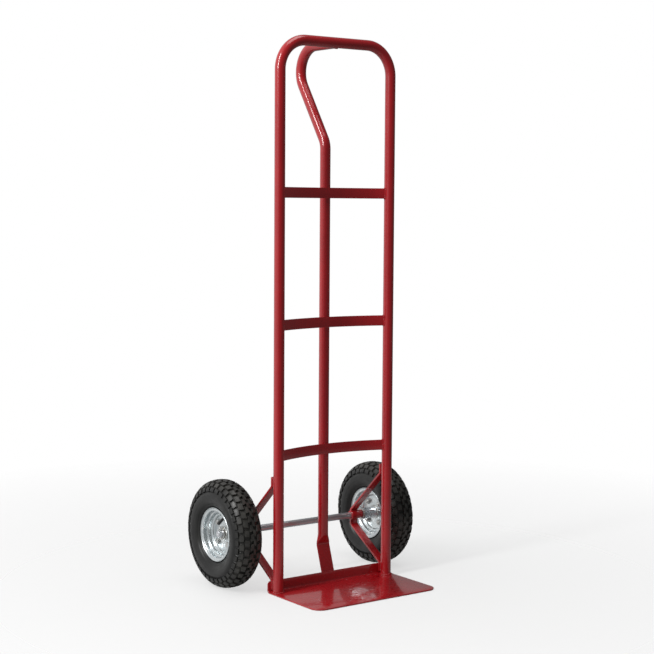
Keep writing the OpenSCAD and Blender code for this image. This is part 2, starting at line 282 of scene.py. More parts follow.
def turned_box(name, side):
    """Where a turned CAD piece starts and ends, outwards along the axle, and its outer radius."""
    low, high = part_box(name)
    start, end = sorted((side * low.x, side * high.x))
    return start, end, (high.z - low.z) / 2


def ring_profile(r_in, r_out, x0, x1, edge):
    """Closed profile of a plain ring with rounded edges."""
    section = flat_section(r_out - r_in, x1 - x0, edge)
    return section + np.array([(r_in + r_out) / 2, (x0 + x1) / 2])


def joined(*shapes):
    """Several (vertices, faces) as one."""
    verts, faces, start = [], [], 0
    for points, polygons in shapes:
        verts.append(np.asarray(points))
        faces += [tuple(i + start for i in polygon) for polygon in polygons]
        start += len(points)
    return np.concatenate(verts), faces


def add_object(name, data):
    """A new object in the scene."""
    thing = bpy.data.objects.new(name, data)
    bpy.context.scene.collection.objects.link(thing)
    return thing


def make_piece(name, shape, material, smooth_deg=35):
    """A mesh object from (vertices, faces), with outward normals, smooth but for its sharp edges."""
    verts, faces = shape
    mesh = bpy.data.meshes.new(name)
    mesh.from_pydata([tuple(v) for v in verts], [], faces)
    work = bmesh.new()
    work.from_mesh(mesh)
    bmesh.ops.recalc_face_normals(work, faces=work.faces)
    work.to_mesh(mesh)
    work.free()
    mesh.shade_smooth()
    mesh.set_sharp_from_angle(angle=math.radians(smooth_deg))
    mesh.materials.append(material)
    return add_object(name, mesh)


def stand_for(piece, body, slot, *nodes):
    """Rides the piece on its body, in place of those CAD nodes."""
    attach(piece, body)
    if nodes:
        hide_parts(*nodes)


# ---- Materials ----


def map_range(nodes, low, high, out_low, out_high):
    """A clamped Map Range node."""
    node = nodes.new("ShaderNodeMapRange")
    values = {"From Min": low, "From Max": high, "To Min": out_low, "To Max": out_high}
    for socket, value in values.items():
        node.inputs[socket].default_value = value
    return node


class Look:
    """A node material being built: its Principled shader and short ways to add nodes."""

    def __init__(self, name):
        self.material = bpy.data.materials.new(name)
        self.material.use_nodes = True
        self.nodes = self.material.node_tree.nodes
        self.links = self.material.node_tree.links
        self.shader = self.nodes["Principled BSDF"]
        self.place = self.nodes.new("ShaderNodeTexCoord").outputs["Object"]

    def set(self, **values):
        for socket, value in values.items():
            self.shader.inputs[socket.replace("_", " ")].default_value = value

    def stretched(self, scale):
        """Object coordinates scaled by axis, for grain that runs one way."""
        mapping = self.nodes.new("ShaderNodeMapping")
        mapping.inputs["Scale"].default_value = scale
        self.links.new(self.place, mapping.inputs["Vector"])
        return mapping.outputs["Vector"]

    def noise(self, scale, detail=3.0, roughness=0.5, vector=None):
        node = self.nodes.new("ShaderNodeTexNoise")
        node.inputs["Scale"].default_value = scale
        node.inputs["Detail"].default_value = detail
        node.inputs["Roughness"].default_value = roughness
        self.links.new(vector or self.place, node.inputs["Vector"])
        return node.outputs["Fac"]

    def cells(self, scale, output="Color"):
        node = self.nodes.new("ShaderNodeTexVoronoi")
        node.inputs["Scale"].default_value = scale
        self.links.new(self.place, node.inputs["Vector"])
        return node.outputs[output]

    def spread(self, source, low, high, out_low, out_high):
        """source mapped from low..high to out_low..out_high, clamped."""
        node = map_range(self.nodes, low, high, out_low, out_high)
        self.links.new(source, node.inputs["Value"])
        return node.outputs["Result"]

    def blend_colours(self, source, first, second):
        node = self.nodes.new("ShaderNodeMix")
        node.data_type = "RGBA"
        self.links.new(source, node.inputs["Factor"])
        for socket, colour in (("A", first), ("B", second)):
            target = [i for i in node.inputs if i.name == socket and i.type == "RGBA"][0]
            if isinstance(colour, bpy.types.NodeSocket):
                self.links.new(colour, target)
            else:
                target.default_value = (*colour, 1)
        return [o for o in node.outputs if o.type == "RGBA"][0]

    def clouds(self, scale, detail):
        """Soft patches, from 0 to 1."""
        return self.spread(self.noise(scale, detail), 0.35, 0.65, 0, 1)

    def uneven_roughness(self, low, high, scale, detail, roughness=0.5):
        """Roughness between low and high, by a noise of its own."""
        self.drive("Roughness", self.spread(self.noise(scale, detail, roughness), 0.3, 0.7, low, high))

    def drive(self, socket, source):
        self.links.new(source, self.shader.inputs[socket])

    def bump(self, source, strength, distance):
        """Adds a bump on top of those already there."""
        node = self.nodes.new("ShaderNodeBump")
        node.inputs["Strength"].default_value = strength
        node.inputs["Distance"].default_value = distance
        self.links.new(source, node.inputs["Height"])
        normal = self.shader.inputs["Normal"]
        if normal.links:
            self.links.new(normal.links[0].from_socket, node.inputs["Normal"])
        self.links.new(node.outputs["Normal"], normal)


def red_paint():
    """Glossy powder coat: faint orange peel, a little cloudiness and sparse dust marks."""
    look = Look("red_powder_coat")
    cloud = look.clouds(7, 4)
    colour = look.blend_colours(cloud, (0.50, 0.011, 0.017), (0.42, 0.009, 0.014))
    specks = look.spread(look.noise(420, 2), 0.66, 0.74, 0, 0.35)
    look.drive("Base Color", look.blend_colours(specks, colour, (0.30, 0.012, 0.016)))
    look.uneven_roughness(0.22, 0.34, 38, 5)
    look.bump(look.noise(180, 2), 0.04, 0.0003)
    look.set(Coat_Weight=1.0, Coat_Roughness=0.08, IOR=1.4)
    return look.material


def weld_paint():
    """The same coat over a weld bead, a little rougher and darker, its tone uneven in soft patches."""
    look = Look("red_coat_on_weld")
    cloud = look.clouds(60, 4)
    look.drive("Base Color", look.blend_colours(cloud, (0.47, 0.010, 0.016), (0.34, 0.008, 0.012)))
    look.uneven_roughness(0.20, 0.36, 150, 3)
    look.bump(look.noise(700, 3), 0.25, 0.0004)
    look.set(Coat_Weight=0.35, Coat_Roughness=0.12, IOR=1.5)
    return look.material


def axle_steel():
    """Bright drawn rod: fine marks along its length and a few handling smudges."""
    look = Look("bright_axle_steel")
    grain = look.noise(60, 4, 0.6, look.stretched((0.4, 30, 30)))
    tint = look.clouds(14, 3)
    look.drive("Base Color", look.blend_colours(tint, (0.80, 0.81, 0.84), (0.66, 0.67, 0.70)))
    look.drive("Roughness", look.spread(grain, 0.25, 0.75, 0.30, 0.44))
    look.bump(grain, 0.12, 0.0002)
    look.set(Metallic=1.0)
    return look.material


def plated(name, light, dark, rough_low, rough_high, spangle):
    """Bright zinc: crystal spangle, cloudy tint and fine grain."""
    look = Look(name)
    crystals = look.cells(spangle)
    cloud = look.noise(26, 4, 0.6)
    mixed = look.nodes.new("ShaderNodeMath")
    mixed.operation = "ADD"
    look.links.new(crystals, mixed.inputs[0])
    look.links.new(cloud, mixed.inputs[1])
    shade = look.spread(mixed.outputs[0], 0.6, 1.4, 0, 1)
    look.drive("Base Color", look.blend_colours(shade, light, dark))
    look.drive("Roughness", look.spread(mixed.outputs[0], 0.5, 1.5, rough_low, rough_high))
    look.bump(look.noise(300, 2), 0.05, 0.0003)
    look.bump(look.noise(45, 2), 0.04, 0.0012)
    look.set(Metallic=1.0)
    return look.material


def bronze():
    """Oiled sintered bronze: fine open grain with darker oil patches."""
    look = Look("oiled_bronze")
    patches = look.clouds(120, 4)
    look.drive("Base Color", look.blend_colours(patches, (0.36, 0.29, 0.18), (0.22, 0.17, 0.10)))
    look.uneven_roughness(0.28, 0.5, 600, 3)
    look.bump(look.noise(1800, 2), 0.25, 0.0002)
    look.set(Metallic=1.0)
    return look.material


def from_axle(look):
    """Distance from the axle's line."""
    mapping = look.nodes.new("ShaderNodeMapping")
    mapping.inputs["Location"].default_value = (0, -AXLE_Y, -AXLE_Z)
    mapping.inputs["Scale"].default_value = (0, 1, 1)
    look.links.new(look.place, mapping.inputs["Vector"])
    length = look.nodes.new("ShaderNodeVectorMath")
    length.operation = "LENGTH"
    look.links.new(mapping.outputs["Vector"], length.inputs[0])
    return length.outputs["Value"]


def rubber(name, dark, light, rough_low, rough_high, tread_light_and_dust=None):
    """Moulded rubber: uneven tone and sheen, fine skin texture, and if asked a paler tread, painted light
    mixed with dust.
    """
    look = Look(name)
    dust = look.spread(look.noise(18, 5, 0.65), 0.4, 0.75, 0, 1)
    colour = look.blend_colours(dust, dark, light)
    if tread_light_and_dust:
        # Paler tread beyond 0.106-0.122 m from the axle: painted light that lifts the tread, mixed with a
        # dusty tint by noise
        lit_dusty_tread = look.blend_colours(look.spread(look.noise(30, 4), 0.3, 0.7, 0, 1), light, tread_light_and_dust)
        colour = look.blend_colours(look.spread(from_axle(look), 0.106, 0.122, 0, 1), colour, lit_dusty_tread)
    look.drive("Base Color", colour)
    look.uneven_roughness(rough_low, rough_high, 55, 5, 0.6)
    look.bump(look.noise(900, 3), 0.22, 0.0003)
    look.bump(look.noise(90, 3), 0.08, 0.0010)
    look.set(Specular_IOR_Level=0.42, IOR=1.5)
    return look.material


def cap_plastic():
    """Small moulded cap: nearly black with a fine matt grain."""
    look = Look("valve_cap_plastic")
    tone = look.spread(look.noise(200, 3), 0.3, 0.7, 0, 1)
    look.drive("Base Color", look.blend_colours(tone, (0.014, 0.014, 0.015), (0.028, 0.028, 0.029)))
    look.uneven_roughness(0.32, 0.5, 500, 3)
    look.bump(look.noise(2200, 2), 0.2, 0.0001)
    return look.material


# ---- Welded frame ----


def frame_tube(paint):
    """One bent tube: two legs, two round corners and the top."""
    inner_x, corner_z = LEG_X - CORNER_R, TOP_Z - CORNER_R
    flat = [
        [(-LEG_X, tube_low.z)],
        arc((-inner_x, corner_z), CORNER_R, math.pi, math.pi / 2, 20),
        arc((inner_x, corner_z), CORNER_R, math.pi / 2, 0, 20),
        [(LEG_X, tube_low.z)],
    ]
    path = np.insert(np.concatenate(flat), 1, 0, axis=1)
    piece = make_piece("frame_tube_coat", skin(sweep(path, (0, 1, 0), circle(TUBE_R, 48))), paint)
    stand_for(piece, "frame", "red_paint", "frame_tube")


def spine_path():
    """The handle's centre line in (Y, Z), from inside the top tube down to the end of its foot."""
    loop_y = spine_high.y - TUBE_R - LOOP_R
    loop_z = TOP_Z - LOOP_R
    leave = np.array([loop_y + LOOP_R * math.cos(SLANT), loop_z - LOOP_R * math.sin(SLANT)])
    knee_z = leave[1] - (leave[0] - SPINE_Y) / math.tan(SLANT)
    foot_y = FLANGE_Y + PLATE_T / 2 + FOOT_T / 2
    top = [(2 * MM, TOP_Z)]
    loop = arc((loop_y, loop_z), LOOP_R, math.pi / 2, -SLANT, 30)
    knee = rounded([leave, (SPINE_Y, knee_z), (SPINE_Y, PRESS_TOP_Z)], [KNEE_R], 10)[1:]
    press = [(SPINE_Y, z) for z in np.linspace(PRESS_TOP_Z, PRESS_LOW_Z, 13)[1:-1]]
    foot = [
        (SPINE_Y, PRESS_LOW_Z),
        (SPINE_Y, PRESS_LOW_Z - 3 * MM),
        (foot_y, plate_high.z - 1 * MM),
        (foot_y, spine_low.z),
    ]
    foot = rounded(foot, [FOOT_BEND_R, FOOT_BEND_R], 5)
    return np.concatenate([top, loop, knee, press, foot])


def handle_spine(paint):
    """Round tube that turns through the loop and the knee, then is pressed flat at its foot."""
    path, inset = rounded_ends(np.insert(spine_path(), 0, 0, axis=1), 1.2 * MM)
    foot_w = 2 * spine_high.x
    sections = []
    for point, draw_in in zip(path, inset):
        share = np.clip((PRESS_TOP_Z - point[2]) / (PRESS_TOP_Z - PRESS_LOW_Z), 0, 1)
        share = share * share * (3 - 2 * share)
        width = foot_w - 2 * draw_in
        thickness = FOOT_T - 2 * draw_in
        pressed = flat_section(width, thickness, thickness / 2 * 0.98, 11)
        sections.append((1 - share) * circle(TUBE_R - draw_in * 0.3, 48, 0.5) + share * pressed)
    piece = make_piece("handle_spine_coat", skin(sweep(path, (1, 0, 0), np.array(sections))), paint)
    stand_for(piece, "frame", "red_paint", "handle_spine")


def crossbar(which, paint):
    """Flat bar bowed back so that its middle meets the front of the handle's upright."""
    name = "crossbar_" + which
    low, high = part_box(name)
    middle_z = (low.z + high.z) / 2
    half_chord = LEG_X - TUBE_R
    bow = high.y - BAR_T / 2 - BAR_END_Y
    bend_r = (half_chord**2 + bow**2) / (2 * bow)
    reach = math.asin((half_chord + 2 * MM) / bend_r)
    flat = arc((0, high.y - BAR_T / 2 - bend_r), bend_r, math.pi / 2 + reach, math.pi / 2 - reach, 40)
    path = np.insert(flat, 2, middle_z, axis=1)
    section = flat_section(high.z - low.z, BAR_T, 0.9 * MM)
    piece = make_piece(name + "_coat", skin(sweep(path, (0, 0, 1), section)), paint)
    stand_for(piece, "frame", "red_paint", name)


def strut(level, word, side, paint):
    """Flat bar from the leg back to the axle sleeve, with a short tab at each end."""
    name = f"{level}_strut_{word}"
    low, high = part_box(name)
    leg_y = TUBE_R + STRUT_T / 2
    apex_y = high.y - STRUT_T / 2
    if level == "upper":
        at_leg = [(leg_y, high.z), (leg_y, UPPER_BEND_Z)]
        at_sleeve = [(apex_y, AXLE_Z + UPPER_APEX_RISE), (apex_y, AXLE_Z + STRUT_IN_SLEEVE)]
        corners = at_leg + at_sleeve
    else:
        at_sleeve = [(apex_y, AXLE_Z - STRUT_IN_SLEEVE), (apex_y, AXLE_Z - LOWER_APEX_DROP)]
        at_leg = [(leg_y, LOWER_BEND_Z), (leg_y, low.z)]
        corners = at_sleeve + at_leg
    flat = rounded(corners, [STRUT_BEND_R, STRUT_BEND_R])
    path, inset = rounded_ends(np.insert(flat, 0, side * LEG_X, axis=1), 0.9 * MM)
    width = high.x - low.x
    sections = [flat_section(width - 2 * i, STRUT_T - 2 * i, 1.0 * MM - 0.9 * i) for i in inset]
    piece = make_piece(name + "_coat", skin(sweep(path, (1, 0, 0), np.array(sections))), paint)
    stand_for(piece, "frame", "red_paint", name)


def toe_plate(paint):
    """Sheet cut with round corners, edges eased, then folded up into the back flange."""
    half_w = plate_high.x
    fold_start = FLANGE_Y - FOLD_R - plate_low.y
    fold_end = fold_start + FOLD_R * math.pi / 2
    length = fold_end + plate_high.z - PLATE_T / 2 - FOLD_R
    outline = np.concatenate([
        arc((half_w - PLATE_CORNER_R, PLATE_CORNER_R), PLATE_CORNER_R, -math.pi / 2, 0, 16),
        arc((half_w - FLANGE_CORNER_R, length - FLANGE_CORNER_R), FLANGE_CORNER_R, 0, math.pi / 2, 8),
        arc((FLANGE_CORNER_R - half_w, length - FLANGE_CORNER_R), FLANGE_CORNER_R, math.pi / 2, math.pi, 8),
        arc((PLATE_CORNER_R - half_w, PLATE_CORNER_R), PLATE_CORNER_R, math.pi, math.pi * 1.5, 16),
    ])
    mesh = bmesh.new()
    bottom = mesh.faces.new([mesh.verts.new((x, s, -PLATE_T / 2)) for x, s in outline])
    grown = bmesh.ops.extrude_face_region(mesh, geom=[bottom])
    lifted = [v for v in grown["geom"] if isinstance(v, bmesh.types.BMVert)]
    bmesh.ops.translate(mesh, vec=(0, 0, PLATE_T), verts=lifted)
    rims = [e for e in mesh.edges if abs(e.verts[0].co.z - e.verts[1].co.z) < 1e-7]
    bmesh.ops.bevel(mesh, geom=rims, offset=0.9 * MM, segments=3, profile=0.5, affect="EDGES")
    for place in [*np.linspace(0.02, fold_start, 8), *np.linspace(fold_start, fold_end, 9)[1:]]:
        geom = mesh.verts[:] + mesh.edges[:] + mesh.faces[:]
        bmesh.ops.bisect_plane(mesh, geom=geom, plane_co=(0, place, 0), plane_no=(0, 1, 0))
    for vert in mesh.verts:
        vert.co = fold_point(vert.co, fold_start, fold_end)
    verts = np.array([v.co[:] for v in mesh.verts])
    mesh.verts.index_update()
    faces = [tuple(v.index for v in f.verts) for f in mesh.faces]
    mesh.free()
    piece = make_piece("toe_plate_coat", (verts, faces), paint)
    stand_for(piece, "frame", "red_paint", "toe_plate")


def fold_point(co, start, end):
    """Where a point of the flat sheet (across, along, height) goes when the sheet is folded."""
    across, along, height = co
    if along <= start:
        return Vector((across, plate_low.y + along, PLATE_T / 2 + height))
    if along >= end:
        return Vector((across, FLANGE_Y - height, PLATE_T / 2 + FOLD_R + along - end))
    angle = (along - start) / FOLD_R
    reach = FOLD_R - height
    y = FLANGE_Y - FOLD_R + reach * math.sin(angle)
    return Vector((across, y, PLATE_T / 2 + FOLD_R - reach * math.cos(angle)))


def axle_sleeve(word, side, paint):
    """Short tube welded between the two struts, which holds the axle."""
    name = "axle_sleeve_" + word
    start, end, radius = turned_box(name, side)
    profile = ring_profile(SLEEVE_BORE_R, radius, start, end, 0.7 * MM)
    piece = make_piece(name + "_coat", lathe(profile, 0, side, 64), paint)
    stand_for(piece, "frame", "red_paint", name)


# ---- Weld beads ----


def weld(points, radius, closed=False, ripple=1.7 * MM):
    """A rippled bead along a line of points: evenly spaced rings whose radius swells with each ripple."""
    points = np.asarray(points, float)
    if closed:
        points = np.concatenate([points, points[:1]])
    gaps = np.linalg.norm(np.diff(points, axis=0), axis=1)
    reach = np.concatenate([[0], np.cumsum(gaps)])
    turns = max(2, round(reach[-1] / ripple))
    count = turns * 6
    places = np.linspace(0, reach[-1], count, endpoint=not closed)
    line = np.stack([np.interp(places, reach, points[:, k]) for k in range(3)], 1)
    phase = places / reach[-1] * turns * TURN
    size = radius * (1 + 0.10 * np.abs(np.sin(phase / 2)) + 0.06 * np.sin(phase * 0.37 + 1))
    if not closed:
        ends = np.minimum(places, reach[-1] - places) / radius
        size = size * np.sqrt(1 - (1 - np.clip(ends, 0.02, 1)) ** 2)
    return skin(tube_along(line, size, 12, closed), loop=closed)


def leg_joint_welds():
    """Beads round the feet of the legs, and where the struts meet the legs and the flange."""
    strap_edge, strap_face = 7.4 * MM, 11.2 * MM
    upper_heights = np.array([252, 263, 274]) * MM
    lower_heights = np.array([8, 20, 33]) * MM
    tab_top = (12.9 * MM, 275.9 * MM)
    flange_top = (17.6 * MM, plate_high.z)
    beads = []
    for side in (-1, 1):
        x = side * LEG_X
        foot = arc((x, 0), TUBE_R + 0.5 * MM, 0, TURN, 72)[:-1]
        beads.append(weld([(a, b, PLATE_T + 0.6 * MM) for a, b in foot], 2.3 * MM, closed=True))
        for edge_x in (x - strap_edge, x + strap_edge):
            beads.append(weld([(edge_x, strap_face, z) for z in upper_heights], 1.9 * MM))
            beads.append(weld([(edge_x, strap_face, z) for z in lower_heights], 1.9 * MM))
        beads.append(weld([(x + reach, *tab_top) for reach in (-7 * MM, 7 * MM)], 1.7 * MM))
        beads.append(weld([(x + reach, *flange_top) for reach in (-9.5 * MM, 9.5 * MM)], 1.6 * MM))
    return beads


def crossbar_welds():
    """Beads all round each end of the bars, and down both sides of the upright behind them."""
    beads = []
    for which in ("top", "middle", "bottom"):
        low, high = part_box("crossbar_" + which)
        middle_z, half_h = (low.z + high.z) / 2, (high.z - low.z) / 2
        loop = flat_section(BAR_T + 0.8 * MM, 2 * half_h + 0.8 * MM, 1.2 * MM) + (BAR_END_Y, middle_z)
        for side in (-1, 1):
            surface = [(side * (LEG_X - math.sqrt(TUBE_R**2 - y * y)), y, z) for y, z in loop]
            beads.append(weld(surface, 1.5 * MM, closed=True))
            upright = [(side * 5.6 * MM, high.y + 0.7 * MM, middle_z + z * half_h) for z in (-0.9, 0, 0.9)]
            beads.append(weld(upright, 1.5 * MM))
    return beads


def spine_welds():
    """The round tee joint under the top tube, and both edges of the pressed foot."""
    angles = np.radians(np.linspace(34, 326, 97))
    tee = np.stack([
        TUBE_R * np.sin(angles),
        TUBE_R * np.sqrt(np.sin(angles) ** 2 + 0.003),
        TOP_Z + TUBE_R * np.cos(angles),
    ], 1)
    beads = [weld(tee, 1.8 * MM)]
    for side in (-1, 1):
        edge_x = side * (spine_high.x + 0.3 * MM)
        beads.append(weld([(edge_x, 21.6 * MM, z * MM) for z in (9, 18, 27.5)], 1.5 * MM))
    beads.append(weld([(x * MM, 20.6 * MM, plate_high.z) for x in (-17, 0, 17)], 1.4 * MM))
    return beads


def sleeve_welds():
    """Beads along the sleeves, on both faces of each strap."""
    beads = []
    apex_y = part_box("upper_strut_left")[1].y - STRUT_T / 2
    for side in (-1, 1):
        for up in (-1, 1):
            for face in (-1, 1):
                y = apex_y + face * (STRUT_T / 2 + 0.4 * MM)
                z = AXLE_Z + up * (math.sqrt((11 * MM) ** 2 - (y - AXLE_Y) ** 2) + 0.2 * MM)
                line = [(side * LEG_X + x * MM, y, z) for x in (-10, 0, 10)]
                beads.append(weld(line, 1.5 * MM))
    return beads


def frame_welds(coat):
    """Every bead on the frame, as one piece."""
    beads = leg_joint_welds() + crossbar_welds() + spine_welds() + sleeve_welds()
    piece = make_piece("weld_beads", joined(*beads), coat, 60)
    stand_for(piece, "frame", "red_paint")


# ---- Axle and its fasteners ----


def axle(steel):
    """Rod with chamfered ends and a small centre mark in each."""
    half = axle_high.x
    profile = [
        (0, -half + 1.4 * MM),
        (1.6 * MM, -half),
        (AXLE_R - 1 * MM, -half),
        (AXLE_R - 0.25 * MM, -half + 0.75 * MM),
        (AXLE_R, -half + 1.4 * MM),
    ]
    profile += [(r, -x) for r, x in profile[::-1]]
    piece = make_piece("axle_rod", lathe(profile, 0, 1, 64), steel)
    merge_axis(piece)
    stand_for(piece, "frame", "axle_steel", "axle")


def merge_axis(piece):
    """Joins the points that a lathe leaves on its own axis."""
    work = bmesh.new()
    work.from_mesh(piece.data)
    tiny = 1e-6
    bmesh.ops.remove_doubles(work, verts=work.verts, dist=tiny)
    on_axis = {v for v in work.verts if math.hypot(v.co.y - AXLE_Y, v.co.z - AXLE_Z) < tiny}
    inside = [f for f in work.faces if on_axis.issuperset(f.verts)]
    bmesh.ops.delete(work, geom=inside, context="FACES_ONLY")
    bmesh.ops.recalc_face_normals(work, faces=work.faces)
    work.to_mesh(piece.data)
    work.free()


def washers(zinc):
    """A plain washer on each side of both hubs, edges eased."""
    for word, side in SIDES:
        for place in ("inner", "outer"):
            name = f"{place}_washer_{word}"
            start, end, radius = turned_box(name, side)
            profile = ring_profile(WASHER_BORE_R, radius, start, end, 0.6 * MM)
            piece = make_piece(name + "_plated", lathe(profile, 0, side, 64), zinc)
            stand_for(piece, "frame", "zinc_fasteners", name)


def split_pins(zinc):
    """One wire bent double: an eye on top, both legs through the axle, their tips spread apart."""
    for word, _ in SIDES:
        name = "split_pin_" + word
        low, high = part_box(name)
        x = (low.x + high.x) / 2
        eye_z = high.z - AXLE_Z - PIN_WIRE_R - PIN_EYE_R
        gap = PIN_WIRE_R * 1.02
        tips = [(gap + 6.4 * MM, -13.4 * MM), (gap, -9.2 * MM)]
        leg = rounded([tips[0], tips[1], (gap, eye_z - 4.6 * MM)], [1.6 * MM], 6)
        eye = arc((0, eye_z), PIN_EYE_R, -math.pi / 2 + 0.45, math.pi / 2, 14)
        half = np.concatenate([leg, eye])
        other = half[::-1][1:] * (-1, 1)
        flat = np.concatenate([half, other])
        path = np.insert(flat + (AXLE_Y, AXLE_Z), 0, x, axis=1)
        path, inset = rounded_ends(path, 0.5 * MM)
        sections = np.array([circle(PIN_WIRE_R - i, 14) for i in inset])
        piece = make_piece(name + "_plated", skin(sweep(path, (1, 0, 0), sections)), zinc)
        stand_for(piece, "frame", "zinc_fasteners", name)


# ---- Wheels ----


def rim_halves(word, side, zinc):
    """Two pressed dishes bolted back to back, edges eased."""
    line = rounded(RIM_PATH, RIM_RADII, 7)
    line, inset = rounded_ends(line, 0.5 * MM)
    thick = RIM_T / 2 - inset
    to_left = (offset_path(line, 1) - line) * thick[:, None]
    profile = np.concatenate([line + to_left, (line - to_left)[::-1]])
    for place, facing in (("outer", 1), ("inner", -1)):
        name = f"rim_{place}_{word}"
        shape = lathe(profile * (1, facing), WHEEL_X, side, 144)
        piece = make_piece(name + "_pressing", shape, zinc, 40)
        stand_for(piece, "wheel_" + word, "rim_zinc", name)


def hub(word, side, zinc, bronze_look, coat):
    """Hub tube with its two flanged bushes and the weld to the rim on each face."""
    body = "wheel_" + word
    start, end, hub_r = turned_box("hub_" + word, side)
    profile = ring_profile(HUB_BORE_R, hub_r, start, end, 0.6 * MM)
    piece = make_piece("hub_tube_" + word, lathe(profile, 0, side, 72), zinc)
    stand_for(piece, body, "hub_zinc", "hub_" + word)
    for place in ("inner", "outer"):
        name = f"hub_bush_{place}_{word}"
        start, end, flange_r = turned_box(name, side)
        edge, length = 0.3 * MM, end - start
        shape = np.array([
            (BUSH_BORE_R, 0),
            (flange_r - edge, 0),
            (flange_r, edge),
            (flange_r, BUSH_FLANGE_T),
            (HUB_BORE_R, BUSH_FLANGE_T),
            (HUB_BORE_R, length),
            (BUSH_BORE_R, length),
        ])
        if place == "inner":
            shape[:, 1] += start
        else:
            shape[:, 1] = end - shape[:, 1]
        piece = make_piece(name + "_turned", lathe(shape, 0, side, 64), bronze_look)
        stand_for(piece, body, "bush_bronze", name)
    beads = []
    for face in (-1, 1):
        ring = arc((0, 0), hub_r + 0.9 * MM, 0, TURN, 90)[:-1]
        x = side * (WHEEL_X + face * (RIM_T + 0.5 * MM))
        beads.append(weld([(x, AXLE_Y + a, AXLE_Z + b) for a, b in ring], 1.9 * MM, closed=True))
    piece = make_piece("hub_welds_" + word, joined(*beads), coat, 60)
    stand_for(piece, body, "hub_zinc")


def hex_ring(z_low, z_high, chamfer_low, chamfer_high, bore_r):
    """Closed rings of a hexagon with its corners turned off at the chosen ends, and a round bore."""
    steps = 8
    angles = np.arange(6 * steps) * TURN / (6 * steps)
    flat_r = HEX_R * math.cos(math.pi / 6)
    hex_r = flat_r / np.cos((angles % (math.pi / 3)) - math.pi / 6)
    drop = (hex_r - flat_r) * math.tan(math.radians(32)) + 0.15 * MM
    rings = []
    for angle, radius, cut in zip(angles, hex_r, drop):
        low_cut, high_cut = (cut if chamfer_low else 0), (cut if chamfer_high else 0)
        low_r = flat_r * 0.96 if chamfer_low else radius
        high_r = flat_r * 0.96 if chamfer_high else radius
        low_half = [(bore_r, z_low), (low_r, z_low), (radius, z_low + low_cut)]
        high_half = [(radius, z_high - high_cut), (high_r, z_high), (bore_r, z_high)]
        rings.append([(r * math.cos(angle), r * math.sin(angle), z) for r, z in low_half + high_half])
    return skin(np.array(rings), loop=True)


def shank(z_low, z_high, thread):
    """Round shank, with turned thread ridges along the given length from its low end."""
    pitch = 1.25 * MM
    line = [(NEAR_AXIS, z_low), (BOLT_R - 0.9 * MM, z_low)]
    count = int(thread / pitch)
    for i in range(count):
        z = z_low + 0.5 * MM + i * pitch
        line += [(BOLT_R - 0.55 * MM, z), (BOLT_R, z + pitch * 0.45), (BOLT_R, z + pitch * 0.6)]
    plain_r, plain_low = BOLT_R - 0.1 * MM, z_low + 0.5 * MM + count * pitch
    line += [(plain_r, plain_low), (plain_r, z_high), (NEAR_AXIS, z_high)]
    angles = np.arange(32) * TURN / 32
    rings = [[(r * math.cos(a), r * math.sin(a), z) for r, z in line] for a in angles]
    return skin(np.array(rings), loop=True)


def at_bolts(shapes, word, side):
    """The shapes, built round +Z as the bolt's line, at the four bolt places of a wheel."""
    placed = []
    for quarter in range(4):
        angle = math.pi / 4 + quarter * math.pi / 2
        for verts, faces in shapes:
            spun = turned(verts[:, :2], 0.35 + quarter * 0.9)
            y = AXLE_Y + BOLT_RING_R * math.sin(angle) + spun[:, 0]
            z = AXLE_Z + BOLT_RING_R * math.cos(angle) + spun[:, 1]
            placed.append((np.stack([side * (WHEEL_X + verts[:, 2]), y, z], 1), faces))
    return joined(*placed)


def bolts_and_nuts(word, side, zinc):
    """Hexagon heads on the outer face, nuts and a little thread on the inner one."""
    head = hex_ring(RIM_T, RIM_T + HEAD_T, False, True, NEAR_AXIS)
    end = -RIM_T - NUT_T - BOLT_TAIL
    rod = shank(end, RIM_T + 0.5 * MM, BOLT_TAIL + 1.2 * MM)
    piece = make_piece("rim_bolt_set_" + word, at_bolts([head, rod], word, side), zinc, 25)
    stand_for(piece, "wheel_" + word, "zinc_fasteners", "rim_bolts_" + word)
    nut = hex_ring(-RIM_T - NUT_T, -RIM_T, True, True, BOLT_R + 0.05 * MM)
    piece = make_piece("rim_nut_set_" + word, at_bolts([nut], word, side), zinc, 25)
    stand_for(piece, "wheel_" + word, "zinc_fasteners", "rim_nuts_" + word)


def on_valve_line(line, word, side, count=40, ribs=0.0):
    """A (radius, distance along the valve) outline turned about the valve's line; ribs flute its sides."""
    seat_r, seat_x = VALVE_SEAT
    out = np.array([0, math.sin(VALVE_ANGLE), -math.cos(VALVE_ANGLE)])
    axial = np.array([1.0, 0, 0])
    ahead = -out * math.cos(VALVE_LEAN) + axial * math.sin(VALVE_LEAN)
    across = np.cross(axial, out)
    other = np.cross(ahead, across)
    base = out * seat_r + axial * seat_x
    rings = []
    for i in range(count):
        angle = i * TURN / count
        flute = 1 - ribs * (i % 2)
        sideways = (across * math.cos(angle) + other * math.sin(angle)) * flute
        rings.append([base + ahead * d + sideways * r for r, d in line])
    rings = np.array(rings)
    rings[..., 0] = side * (rings[..., 0] + WHEEL_X)
    rings[..., 1] += AXLE_Y
    rings[..., 2] += AXLE_Z
    return skin(rings, loop=True)


